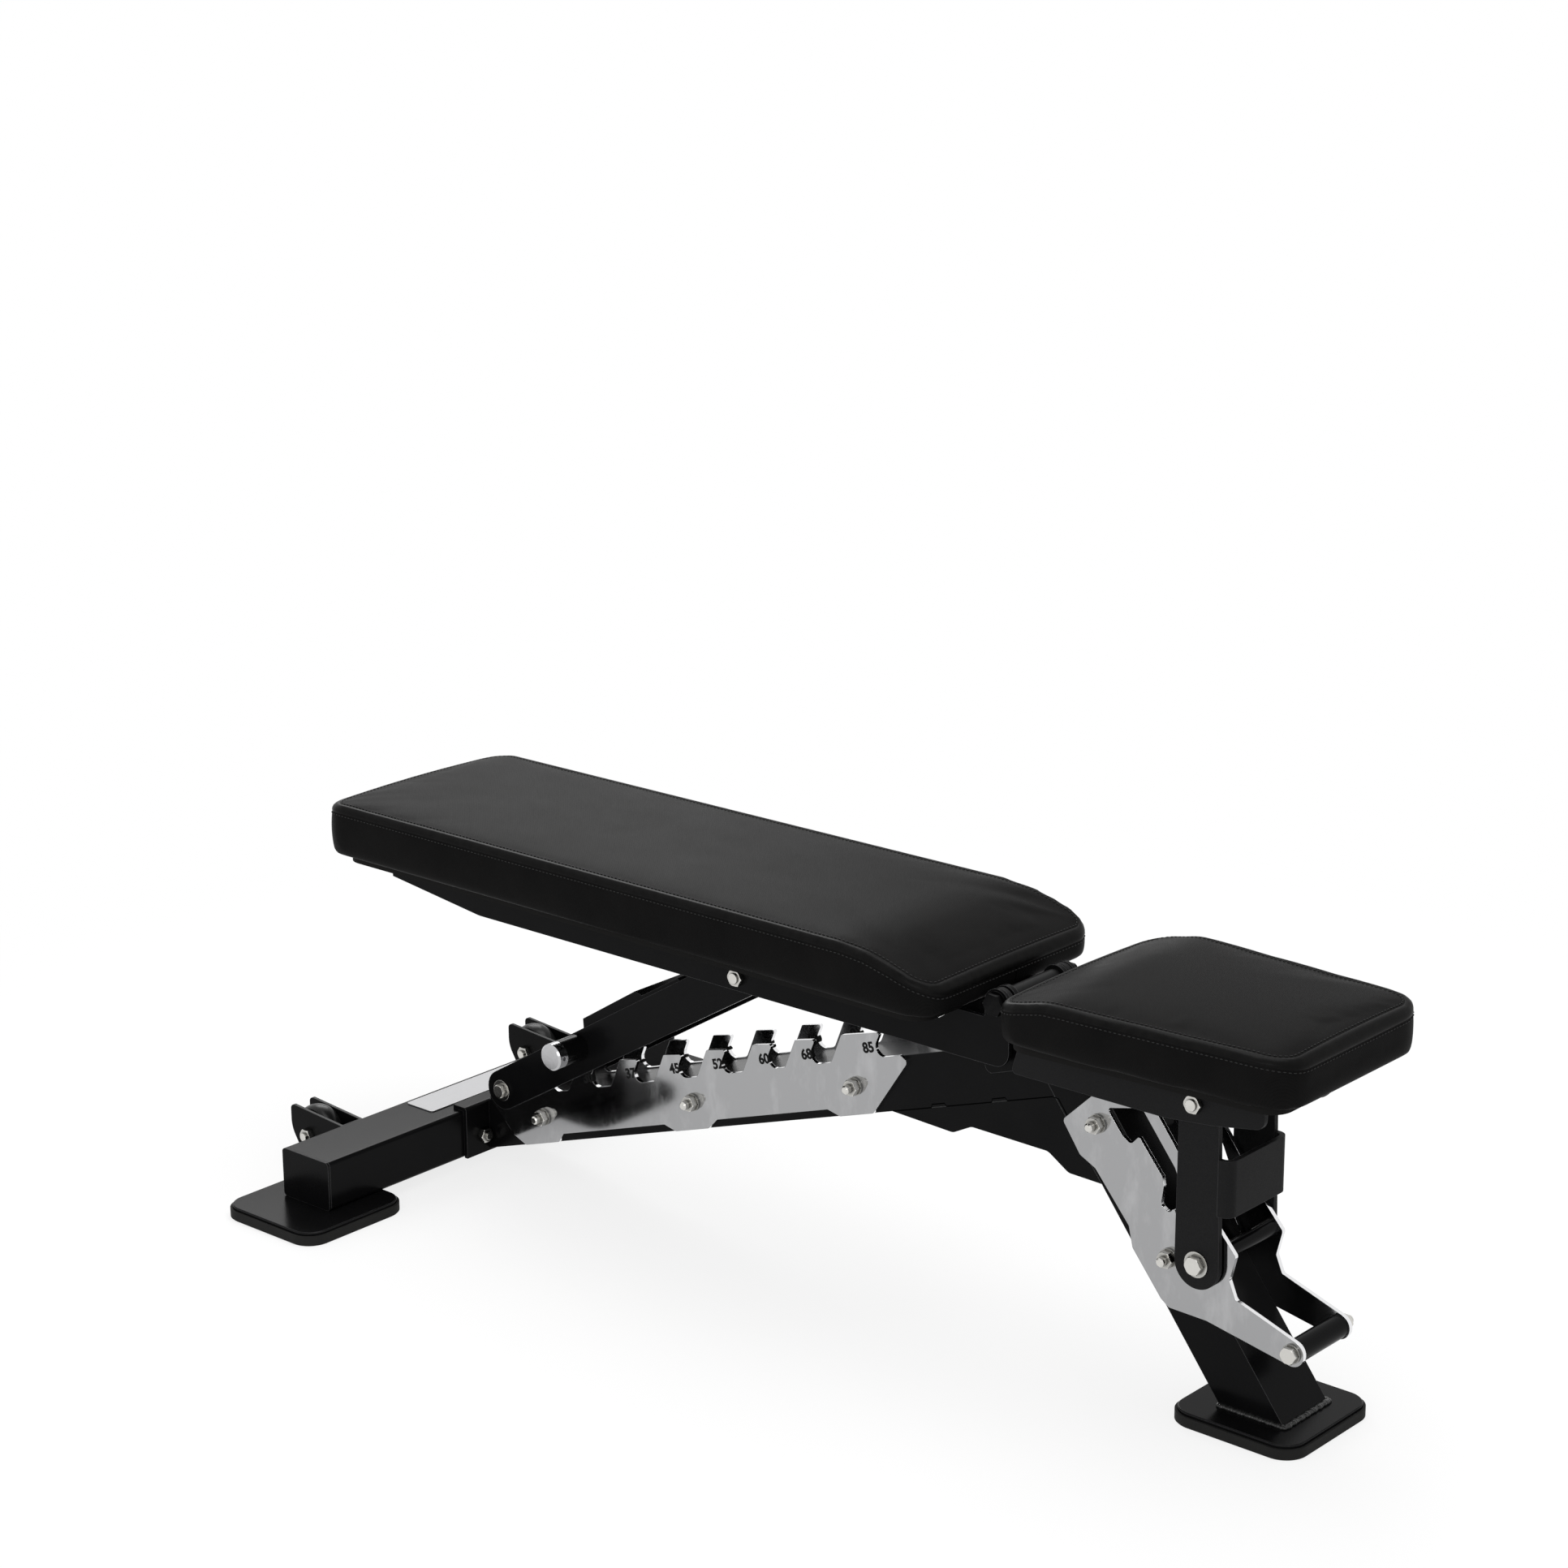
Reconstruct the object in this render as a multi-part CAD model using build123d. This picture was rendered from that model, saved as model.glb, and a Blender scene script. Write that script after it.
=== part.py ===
"""Adjustable weight bench: a flat bench whose backrest and seat tilt about one pivot.

Millimetres, +Z up, +X towards the seat, origin on the floor below the middle of the bench.
"""
from build123d import *
import math
import os

# Floor frame
BEAM_X = (-591, -511)       # rear crossbeam, front to back
BEAM_Z = (16, 76)
BEAM_HALF = 295             # half its length across the bench
TUBE_HALF = 40              # half the width of spine and leg
WALL = 3                    # tube wall
FOOT = 150                  # side of a square foot plate
FOOT_CORNER = 25
FOOT_Z = (6, 16)
SHOE_RIM = 3                # rubber round the plate's edge
SHOE_TOP = 12
REAR_FOOT = (-551, 283)     # centre of a rear foot, x and |y|
FRONT_FOOT_X = 597
SADDLE_T = 5
SADDLE_HALF = 78
SADDLE_BOLT = (51, 40)      # |y| and z
WHEEL = (-651, 47)          # wheel axle, x and z
WHEEL_R = 34
WHEEL_W = 24
WHEEL_Y = 184
CHEEK_T = 4
WHEEL_GAP = 26              # between the cheeks of a wheel bracket

# Spine and ladder: s runs up the slope, h stands square to it
SLOPE = 18.3
LADDER_O = (-175.5, 203.6)  # rod centre in the notch for 45 degrees
SPINE_H = (-71.8, -11.8)
PLATE_T = 5                 # chrome plates lie on the tubes' sides
ROD_R = 9.5
NOTCH_R = 10.5
FLAT_S = -308
NOTCH_S = (-216.4, -146.9, -73.7, 0, 70.6, 144.3, 210.7, 308.6)
LADDER_BOLT_S = (-256, -1, 254)
LADDER_BOLT_H = -39

# Front leg
LEG_FOOT_X = 562.5          # rear edge where it meets the foot plate
LEG_ANGLE = 52.7
LEG_DEPTH = 62
LEG_TOP = 351

# Pivots, x and z
PIVOT = (284, 394)          # backrest and seat
STRUT_PIVOT = (-79, 341)
ROD = (-467.9, 106.9)       # strut rod, in the flat notch
YOKE_PIVOT = (535, 347)
PIN = (537, 170.5)          # yoke pin, in the lowest notch
PIN_R = 6
BAND_X = (560, 575)         # bent strip in front of the yoke arms
BAND_Z = (229, 290)
HANDLE = (649, 103)
HANDLE_R = 12.5
CROSS_TUBE = (566, 189)
FRONT_BOLTS = ((405, 287), (498, 164))
SHAFT_R = 8                 # pivot shaft
LINK_BOLT_R = 6             # bolts that strut and yoke turn on
GRIP = (156, 7)             # hand grip: distance up the strut and above its axis
RUN = 0.06                  # radial clearance of a running fit
SLIP = 0.1                  # radial clearance of a bolt in its hole

# Layers from the middle outwards, |y|
BRACKET_Y = (40, 46)
LINK_Y = (47, 53)           # strut cheeks and yoke arms
HINGE_Y = (49, 55)          # seat hinge plates
SIDE_Y = (55.5, 60)         # backrest channel sides
SEAT_SIDE_Y = (55, 60)      # seat frame sides

# Upholstery
FRAME_TOP = 378
BOARD_TOP = 389
PAD_HALF = 150
PAD_CORNER = 35
BACK_PAD_X = (-668, 262)
BACK_TOP = 451
SEAT_PAD_X = (337, 685)
SEAT_TOP = 443
SEAT_NOSE_HALF = 127
CROWN = 3

# Fasteners
BOLT_R = 5
NUT_R = 9.6                 # to a corner
NUT_T = 8
WASHER_R = 10.5
WASHER_T = 2
THREAD_END = 8              # thread that stands out of a nut


def slab(outline, y_low, y_high):
    """A plate standing upright: an outline in x and z, between two y values."""
    face = outline if isinstance(outline, Sketch) else make_face(outline)
    return extrude(Plane.XZ.offset(-y_high) * face, y_high - y_low)


def path(*corners):
    """Closed outline from corners (x, z) or (x, z, radius)."""
    points = [corner[:2] for corner in corners]
    radii = [corner[2] if len(corner) > 2 else 0 for corner in corners]
    return FilletPolyline(*points, radius=radii, close=True)


def eased(face, corners, radius):
    """A face in x and z, rounded at the corners that are named."""
    chosen = []
    for vertex in face.vertices():
        if any(math.hypot(vertex.X - x, vertex.Y - z) < 0.01 for x, z in corners):
            chosen.append(vertex)
    return fillet(chosen, radius)


def both(shape):
    """The shape and its mirror image on the other side of the bench."""
    return [shape, mirror(shape, Plane.XZ)]


def box(x, y, z):
    """A block between three pairs of limits."""
    size = (x[1] - x[0], y[1] - y[0], z[1] - z[0])
    middle = ((x[0] + x[1]) / 2, (y[0] + y[1]) / 2, (z[0] + z[1]) / 2)
    return Pos(*middle) * Box(*size)


def rod(at, radius, y_low, y_high):
    """A round bar across the bench at (x, z)."""
    return slab(Pos(*at) * Circle(radius), y_low, y_high)


def ring(at, outer, inner, y_low, y_high):
    """A tube or washer across the bench at (x, z)."""
    face = Pos(*at) * (Circle(outer) - Circle(inner))
    return slab(face, y_low, y_high)


def nut(at, y_low, y_high, radius=NUT_R):
    """A hexagon across the bench at (x, z), with its corners taken off."""
    body = slab(Pos(*at) * RegularPolygon(radius, 6), y_low, y_high)
    return body & chamfer(rod(at, radius, y_low, y_high).edges().filter_by(GeomType.CIRCLE), 1)


def link(a, radius_a, b, radius_b):
    """Outline of a straight link: two round ends and their common tangents."""
    (ax, az), (bx, bz) = a, b
    length = math.hypot(bx - ax, bz - az)
    along = math.atan2(bz - az, bx - ax)
    lean = math.acos((radius_a - radius_b) / length)
    sides = []
    for sign in (1, -1):
        turn = along + sign * lean
        for (x, z), radius in ((a, radius_a), (b, radius_b)):
            sides.append((x + radius * math.cos(turn), z + radius * math.sin(turn)))
    quad = make_face(Polyline(sides[0], sides[1], sides[3], sides[2], close=True))
    return quad + Pos(ax, az) * Circle(radius_a) + Pos(bx, bz) * Circle(radius_b)


def holes(plate, places, radius, y_low, y_high):
    """The plate with round holes across the bench at each (x, z)."""
    for at in places:
        plate = plate - rod(at, radius, y_low, y_high)
    return plate


def on_spine(s, h):
    """Point (x, z) from its place along and square to the slope."""
    slope = math.radians(SLOPE)
    x = LADDER_O[0] + s * math.cos(slope) - h * math.sin(slope)
    z = LADDER_O[1] + s * math.sin(slope) + h * math.cos(slope)
    return (x, z)


def leg_rear(z):
    """x of the leg's rear edge at a height."""
    return LEG_FOOT_X - (z - FOOT_Z[1]) / math.tan(math.radians(LEG_ANGLE))


def spine_edge(h, x):
    """z of a line along the spine at h, above a given x."""
    slope = math.radians(SLOPE)
    return LADDER_O[1] + (x - LADDER_O[0]) * math.tan(slope) + h / math.cos(slope)


def spine_meets_leg(h):
    """Where a line along the spine at h reaches the leg's rear edge."""
    rise = math.tan(math.radians(SLOPE))
    run = 1 / math.tan(math.radians(LEG_ANGLE))
    start = spine_edge(h, LEG_FOOT_X + FOOT_Z[1] * run)
    z = start / (1 + rise * run)
    return (leg_rear(z), z)


def through_bolt(at, half):
    """Bolt, nut and two washers across the bench at (x, z), clamping what lies within +-half."""
    seat = half + WASHER_T
    shank = rod(at, BOLT_R, -seat - NUT_T - THREAD_END, seat)
    shank = chamfer(shank.edges().filter_by(GeomType.CIRCLE).sort_by(Axis.Y)[0], 1.5)
    head = nut(at, seat, seat + 6.5)
    bolt = shank + head
    washers = both(ring(at, WASHER_R, BOLT_R + SLIP, half, seat))
    hexagon = nut(at, -seat - NUT_T, -seat) - rod(at, BOLT_R + SLIP, -seat - NUT_T, -seat)
    return [bolt, hexagon] + washers


def rounded_plate(side, corner, z_low, z_high):
    """A square plate with round corners, centred on the origin."""
    return extrude(Plane.XY.offset(z_low) * RectangleRounded(side, side, corner), z_high - z_low)


def rear_crossbeam():
    """Wide tube across the rear, holed for the saddle bolts."""
    x = BEAM_X
    outer = box(x, (-BEAM_HALF + WALL, BEAM_HALF - WALL), BEAM_Z)
    outer = fillet(outer.edges().filter_by(Axis.Y), 5)
    inner = box((x[0] + WALL, x[1] - WALL), (-BEAM_HALF, BEAM_HALF), (BEAM_Z[0] + WALL, BEAM_Z[1] - WALL))
    beam = outer - fillet(inner.edges().filter_by(Axis.Y), 3)
    for y in (-SADDLE_BOLT[0], SADDLE_BOLT[0]):
        beam = beam - Pos(sum(x) / 2, y, SADDLE_BOLT[1]) * Rot(0, 90, 0) * Cylinder(BOLT_R + SLIP, 100)
    return beam


def crossbeam_end_caps():
    """Plates that close the two ends of the crossbeam."""
    cap = box(BEAM_X, (BEAM_HALF - WALL, BEAM_HALF), BEAM_Z)
    return both(fillet(cap.edges().filter_by(Axis.Y), 5))


def name_plate():
    """Bare thin plate on top of the crossbeam."""
    plate = box((-582, -537), (-105, 105), (BEAM_Z[1], BEAM_Z[1] + 1.2))
    return fillet(plate.edges().filter_by(Axis.Z), 4)


def foot_plate():
    """Flat square foot, centred on the origin."""
    plate = rounded_plate(FOOT, FOOT_CORNER, *FOOT_Z)
    return chamfer(plate.faces().sort_by(Axis.Z)[-1].edges(), 1)


def foot_shoe():
    """Rubber tray under a foot plate, centred on the origin."""
    outside = rounded_plate(FOOT + 2 * SHOE_RIM, FOOT_CORNER + SHOE_RIM, 0, SHOE_TOP)
    outside = chamfer(outside.faces().sort_by(Axis.Z)[0].edges(), 1.5)
    return outside - rounded_plate(FOOT + 0.4, FOOT_CORNER + 0.2, FOOT_Z[0], SHOE_TOP)


def wheel_bracket(side):
    """Two cheeks and a back plate, welded to the rear of the crossbeam."""
    x = BEAM_X[0]
    rear = WHEEL[0] - WHEEL_R + 2
    outline = path((x, 22), (x, 73), (rear, 80, 6), (rear, 50, 36), (rear + 21, 17, 10), (x - 24, 17, 10))
    gap = WHEEL_GAP / 2
    middle = side * WHEEL_Y
    bracket = slab(outline, middle - gap - CHEEK_T, middle - gap)
    bracket = bracket + slab(outline, middle + gap, middle + gap + CHEEK_T)
    bracket = bracket + box((x - CHEEK_T, x), (middle - gap, middle + gap), (22, 73))
    return bracket - rod(WHEEL, BOLT_R + SLIP, middle - 30, middle + 30)


def wheel_bolt(side):
    """Axle bolt and nut of one wheel."""
    reach = WHEEL_GAP / 2 + CHEEK_T
    middle = side * WHEEL_Y
    bolt = rod(WHEEL, BOLT_R, -reach - NUT_T - 3, reach) + nut(WHEEL, reach, reach + 6)
    hexagon = nut(WHEEL, -reach - NUT_T, -reach) - rod(WHEEL, BOLT_R + SLIP, -reach - NUT_T, -reach)
    return [Pos(0, middle, 0) * bolt, Pos(0, middle, 0) * hexagon]


def transport_wheel(side):
    """Solid wheel with a crowned tread, dished faces and a hub."""
    half = WHEEL_W / 2
    tread = WHEEL_R - 3
    profile = Line((BOLT_R + RUN, -half), (12, -half)) + Line((12, -half), (14, -half + 4))
    profile += Line((14, -half + 4), (24, -half + 4)) + Line((24, -half + 4), (26, -half + 1))
    profile += Line((26, -half + 1), (tread, -half + 1))
    profile += ThreePointArc((tread, -half + 1), (WHEEL_R, 0), (tread, half - 1))
    profile += Line((tread, half - 1), (26, half - 1)) + Line((26, half - 1), (24, half - 4))
    profile += Line((24, half - 4), (14, half - 4)) + Line((14, half - 4), (12, half))
    profile += Line((12, half), (BOLT_R + RUN, half)) + Line((BOLT_R + RUN, half), (BOLT_R + RUN, -half))
    wheel = revolve(make_face(profile), Axis.Y)
    return Pos(WHEEL[0], side * WHEEL_Y, WHEEL[1]) * wheel


def saddle_bracket():
    """Folded plate between crossbeam and spine, its lip over the crossbeam's top."""
    x = BEAM_X[1]
    top = BEAM_Z[1] + SADDLE_T
    outline = path((x, 16), (x, BEAM_Z[1]), (x - 17, BEAM_Z[1]), (x - 17, top), (x + SADDLE_T, top, 4),
                   (x + SADDLE_T, 16))
    plate = slab(outline, -SADDLE_HALF, SADDLE_HALF)
    for y in (-SADDLE_BOLT[0], SADDLE_BOLT[0]):
        plate = plate - Pos(x, y, SADDLE_BOLT[1]) * Rot(0, 90, 0) * Cylinder(BOLT_R + SLIP, 40)
    return plate


def saddle_bolts():
    """Bolts along the bench through crossbeam and saddle, with nuts on the spine's side."""
    pieces = []
    grip = BEAM_X[1] + SADDLE_T - BEAM_X[0]
    for y in (-SADDLE_BOLT[0], SADDLE_BOLT[0]):
        bolt = rod((0, 0), BOLT_R, -grip - NUT_T - 4, 0) + nut((0, 0), 0, 6.5)
        hexagon = nut((0, 0), -grip - NUT_T, -grip) - rod((0, 0), BOLT_R + SLIP, -grip - NUT_T, -grip)
        place = Pos(BEAM_X[0], y, SADDLE_BOLT[1]) * Rot(0, 0, 90)
        pieces += [place * bolt, place * hexagon]
    return pieces


def spine_tube():
    """Sloping tube from the saddle to the leg, cut to meet both."""
    start = BEAM_X[1] + SADDLE_T
    corners = [(start, spine_edge(SPINE_H[0], start)), spine_meets_leg(SPINE_H[0]),
               spine_meets_leg(SPINE_H[1]), (start, spine_edge(SPINE_H[1], start))]
    outer = slab(path(*corners), -TUBE_HALF, TUBE_HALF)
    low, high = SPINE_H[0] + WALL, SPINE_H[1] - WALL
    room = [(start - 5, spine_edge(low, start - 5)), (600, spine_edge(low, 600)),
            (600, spine_edge(high, 600)), (start - 5, spine_edge(high, start - 5))]
    tube = outer - slab(path(*room), -TUBE_HALF + WALL, TUBE_HALF - WALL)
    places = [on_spine(s, LADDER_BOLT_H) for s in LADDER_BOLT_S]
    return holes(tube, places, BOLT_R + SLIP, -50, 50)


def spine_gussets():
    """Plates in the corner below spine and leg, flush with the tubes' sides."""
    root = (127, spine_edge(SPINE_H[0], 127))
    outline = path(root, spine_meets_leg(SPINE_H[0]), (leg_rear(219), 219), (365, 220, 12),
                   (338, 237, 12), (236, 238, 12), (211, 225, 12))
    return both(slab(outline, TUBE_HALF - PLATE_T, TUBE_HALF))


def front_leg():
    """Leaning tube from the front foot to just under the seat, closed at the top."""
    width = LEG_DEPTH / math.sin(math.radians(LEG_ANGLE))
    inset = WALL / math.sin(math.radians(LEG_ANGLE))
    low, high = FOOT_Z[1], LEG_TOP
    outer = path((leg_rear(low), low), (leg_rear(low) + width, low),
                 (leg_rear(high) + width, high), (leg_rear(high), high))
    top = high - WALL
    room = path((leg_rear(low - 2) + inset, low - 2), (leg_rear(low - 2) + width - inset, low - 2),
                (leg_rear(top) + width - inset, top), (leg_rear(top) + inset, top))
    tube = slab(outer, -TUBE_HALF, TUBE_HALF)
    tube = tube - slab(room, -TUBE_HALF + WALL, TUBE_HALF - WALL)
    return holes(tube, FRONT_BOLTS, BOLT_R + SLIP, -50, 50)


def leg_weld():
    """Weld bead round the foot of the leg."""
    width = LEG_DEPTH / math.sin(math.radians(LEG_ANGLE))
    low = FOOT_Z[1]
    x = (leg_rear(low), leg_rear(low) + width)
    bead = box((x[0] - 4, x[1] + 4), (-TUBE_HALF - 4, TUBE_HALF + 4), (low, low + 4))
    bead = fillet(bead.edges().filter_by(Axis.Z), 4)
    bead = chamfer(bead.faces().sort_by(Axis.Z)[-1].edges(), 3)
    lean = path((leg_rear(low - 2), low - 2), (leg_rear(low - 2) + width, low - 2),
                (leg_rear(low + 9) + width, low + 9), (leg_rear(low + 9), low + 9))
    return bead - slab(lean, -TUBE_HALF, TUBE_HALF)


def ladder_outline():
    """Toothed outline: each tooth curls over the rod seat on its front side, corners rounded."""
    floor = -NOTCH_R
    tops, feet = [], []
    edge = Polyline(on_spine(-344, -8), on_spine(-322, 5), on_spine(FLAT_S - 9.5, 4.5))
    edge += ThreePointArc(on_spine(FLAT_S - 9.5, 4.5), on_spine(FLAT_S - 9.1, -5.2), on_spine(FLAT_S, floor))
    start = FLAT_S
    scoop = NOTCH_R * math.sqrt(0.5)
    for seat in NOTCH_S:
        last = seat == NOTCH_S[-1]
        crest = seat - (56 if last else 29)
        feet.append(on_spine(crest - 25, floor))
        tops += [on_spine(crest, 19), on_spine(seat + 1, 17)]
        hollow = on_spine(seat - scoop, scoop)
        edge += Polyline(on_spine(start, floor), feet[-1], *tops[-2:], hollow)
        edge += ThreePointArc(hollow, on_spine(seat - NOTCH_R, 0), on_spine(seat, floor))
        start = seat
    low = SPINE_H[0] + 0.5
    recess = -62
    rim = [on_spine(331, floor), on_spine(338.7, -19), on_spine(271, low), on_spine(221, low),
           on_spine(205, recess), on_spine(31, recess), on_spine(14, low), on_spine(-40, low),
           on_spine(-56, recess), on_spine(-230, recess), on_spine(-241, low), on_spine(-300, low),
           on_spine(-316, -58), on_spine(-344, -8)]
    edge += Polyline(on_spine(start, floor), *rim)
    return eased(eased(eased(make_face(edge), rim, 4.5), tops, 2.5), feet, 8)


def ladder_plate(side):
    """Chrome notched plate on one side of the spine."""
    plate = slab(ladder_outline(), TUBE_HALF, TUBE_HALF + PLATE_T)
    places = [on_spine(s, LADDER_BOLT_H) for s in LADDER_BOLT_S]
    plate = holes(plate, places, BOLT_R + SLIP, 30, 60)
    return plate if side > 0 else mirror(plate, Plane.XZ)


def front_plate_outline():
    """Chrome plate on the leg: slotted upper part and the arm that carries the lift handle."""
    x, z = HANDLE
    reach = 14
    tip = ((x - 3, z - reach + 0.4), (x + reach, z), (x + 4, z + reach - 0.6))
    rim = ((580, 141), (572, 160), (579, 188), (556, 214), (501, 288), (470, 328), (410, 328), (360, 280),
           (383, 247), (403, 237), (447, 185), (452, 162), (489, 116), (499, 109), (546, 108))
    edge = Polyline(tip[2], *rim, tip[0]) + ThreePointArc(*tip)
    return eased(make_face(edge), rim, 5)


def front_slot():
    """Slot for the yoke pin: a sloping channel with two hooked notches and the lowest seat."""
    x, z = PIN
    seat = PIN_R + 1
    slide = math.radians(-62)
    across = (seat * math.sin(slide), -seat * math.cos(slide))
    left = (x + across[0], z + across[1])
    right = (x - across[0], z - across[1])
    bottom = (x + seat * math.cos(slide), z + seat * math.sin(slide))
    edge = FilletPolyline(right, (502.5, 264), (460, 318), (416, 307), (436, 282), (447, 275), (457, 286),
                          (487, 250), (489, 240), (486, 219), (497, 212), (502, 220), left,
                          radius=(4, 4, 3, 4, 5, 2, 4, 4, 5, 5, 2))
    return edge + ThreePointArc(left, bottom, right)


def front_plate(side):
    """Chrome plate on one side of the leg."""
    plate = slab(front_plate_outline(), TUBE_HALF, TUBE_HALF + PLATE_T)
    plate = plate - slab(front_slot(), TUBE_HALF - 1, TUBE_HALF + PLATE_T + 1)
    plate = holes(plate, FRONT_BOLTS + (HANDLE,), BOLT_R + SLIP, 30, 60)
    return plate if side > 0 else mirror(plate, Plane.XZ)


def bolt_sets(places, half):
    """Through bolts, with washers and nuts, at each (x, z)."""
    pieces = []
    for at in places:
        pieces += through_bolt(at, half)
    return pieces


def cross_tube():
    """Short tube that ties the front plates together at the knee."""
    return ring(CROSS_TUBE, 8, 5, -TUBE_HALF, TUBE_HALF)


def lift_handle():
    """Tube between the arms of the front plates, to lift that end of the bench."""
    return ring(HANDLE, HANDLE_R, BOLT_R + SLIP, -TUBE_HALF, TUBE_HALF)


def pivot_bracket():
    """Upright plates on the spine that carry the pivot shaft."""
    x, z = PIVOT
    outline = path((x - 30, 304, 8), (x + 24, 322, 8), (x + 16, 352, 20), (x + 16, z + 16, 15.9),
                   (x - 16, z + 16, 15.9), (x - 16, 352, 20))
    plate = slab(outline, *BRACKET_Y) - rod(PIVOT, SHAFT_R + SLIP, 30, 60)
    return both(plate)


def pivot_shaft():
    """Shaft of backrest and seat, with a nut and washer at each end and a sleeve in the middle."""
    x_half = SIDE_Y[1] + 1
    shaft = rod(PIVOT, SHAFT_R, -x_half - 6, x_half + 6)
    end = ring(PIVOT, 14, SHAFT_R, x_half, x_half + 1.5) + nut(PIVOT, x_half + 1.5, x_half + 7.5, 13)
    end = end - rod(PIVOT, SHAFT_R + SLIP, x_half - 1, x_half + 6.2)
    sleeve = ring(PIVOT, 12, SHAFT_R + SLIP, -BRACKET_Y[0], BRACKET_Y[0])
    return [shaft, sleeve] + both(end)


def backrest_side():
    """Outline of one side of the backrest channel, with the ear that hangs on the pivot."""
    x, z = PIVOT
    tail = 324 + 23 * (640 - 491) / 183
    return path((-640, tail), (-491, 324, 60), (x + 16, 324, 18), (x + 16, z + 16, 15.9),
                (x - 16, z + 16, 15.9), (x - 16, 376, 3), (231, 376, 8), (203, 358, 8), (172, 358, 6),
                (160, FRAME_TOP, 6), (-640, FRAME_TOP, 8))


def backrest_frame():
    """Channel under the back pad: two sides joined by a web."""
    side = slab(backrest_side(), *SIDE_Y)
    side = holes(side, (PIVOT,), SHAFT_R + RUN, 50, 70)
    side = holes(side, (STRUT_PIVOT,), LINK_BOLT_R + SLIP, 50, 70)
    web = box((-636, 150), (-SIDE_Y[0], SIDE_Y[0]), (FRAME_TOP - 4, FRAME_TOP))
    return web + both(side)


def board(x, half_rear, half_front):
    """Plywood panel under a pad, its corners rounded."""
    outline = FilletPolyline((x[0], -half_rear), (x[1], -half_front), (x[1], half_front),
                             (x[0], half_rear), radius=25, close=True)
    return extrude(Plane.XY.offset(FRAME_TOP) * make_face(outline), BOARD_TOP - FRAME_TOP)


def pad_section(x, half, low, top, crown):
    """Cross-section of a pad at x: flat base, drawn-in bulging sides and a crowned top."""
    tuck = 4
    middle = low + 0.45 * (top - low)
    base = Line((-half + tuck, low), (half - tuck, low))
    right = ThreePointArc((half - tuck, low), (half, middle), (half - tuck, top))
    roof = ThreePointArc((half - tuck, top), (0, top + crown), (-half + tuck, top))
    left = ThreePointArc((-half + tuck, top), (-half, middle), (-half + tuck, low))
    plane = Plane(origin=(x, 0, 0), x_dir=(0, 1, 0), z_dir=(1, 0, 0))
    return plane * make_face(base + right + roof + left)


def corner_steps(radius):
    """Steps round a quarter circle: distance from the end and what the half-width loses."""
    angles = (0, 22.5, 45, 67.5, 90)
    turns = [math.radians(angle) for angle in angles]
    return [(radius * (1 - math.sin(turn)), radius * (1 - math.cos(turn))) for turn in reversed(turns)]


def pad(stations, top, crown):
    """Pad lofted through stations (x, half-width, base, edge drop)."""
    sections = [pad_section(x, half, low, top - drop, crown) for x, half, low, drop in stations]
    return loft(sections, ruled=True)


def back_pad():
    """Long pad of the backrest: round corners, its front end rolled down."""
    head, front = BACK_PAD_X
    stations = []
    for step, loss in corner_steps(PAD_CORNER):
        stations.append((head + step, PAD_HALF - loss, BOARD_TOP, 8 * loss / PAD_CORNER))
    for x, drop, loss in ((140, 0, 0), (175, 3, 0), (205, 10, 0), (232, 18, 3), (248, 23.5, 10),
                          (256, 27.5, 18)):
        stations.append((x, PAD_HALF - loss, BOARD_TOP, drop))
    stations.append((front, PAD_HALF - 32, BOARD_TOP + 10, 32))
    return pad(stations, BACK_TOP, CROWN)


def seat_pad():
    """Seat pad: narrower at the nose, rolled down at the rear."""
    rear, nose = SEAT_PAD_X
    slim = (PAD_HALF - SEAT_NOSE_HALF) / (nose - rear)
    stations = []
    for x, drop, loss in ((rear, 18, 32), (rear + 6, 14, 18), (rear + 14, 11.5, 10), (rear + 30, 8, 3),
                          (rear + 68, 0, 0)):
        half = PAD_HALF - slim * (x - rear) - loss
        stations.append((x, half, BOARD_TOP + (10 if x == rear else 0), drop))
    for step, loss in reversed(corner_steps(PAD_CORNER)):
        x = nose - step
        half = PAD_HALF - slim * (x - rear) - loss
        stations.append((x, half, BOARD_TOP, 8 * loss / PAD_CORNER))
    return pad(stations, SEAT_TOP, CROWN)


def pad_screws(places):
    """Screws from below through a frame web into its board, each at (x, y)."""
    under = FRAME_TOP - 4
    pieces = []
    for x, y in places:
        shank = Pos(x, y, under + 7) * Cylinder(3, 14)
        head = Pos(x, y, under - 2) * Cylinder(6.5, 4)
        pieces.append(shank + chamfer(head.faces().sort_by(Axis.Z)[0].edges(), 1.5))
    return pieces


def drilled(panel, places):
    """A web or board with clearance holes for its screws."""
    for x, y in places:
        panel = panel - Pos(x, y, FRAME_TOP) * Cylinder(3.1, 30)
    return panel


def pivot_bolt(at, radius):
    """Bolt across a frame at (x, z): a head outside one side and a nut outside the other."""
    half = SIDE_Y[1]
    bolt = rod(at, radius, -half - 9, half) + nut(at, half, half + 6.5, 10.5)
    hexagon = nut(at, -half - 7, -half, 10.5) - rod(at, radius + SLIP, -half - 7, -half)
    return [bolt, hexagon]


def strut_point(along, square):
    """Point (x, z) on the strut from its distance from the rod and from its axis."""
    turn = math.atan2(STRUT_PIVOT[1] - ROD[1], STRUT_PIVOT[0] - ROD[0])
    x = ROD[0] + along * math.cos(turn) - square * math.sin(turn)
    z = ROD[1] + along * math.sin(turn) + square * math.cos(turn)
    return (x, z)


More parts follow.
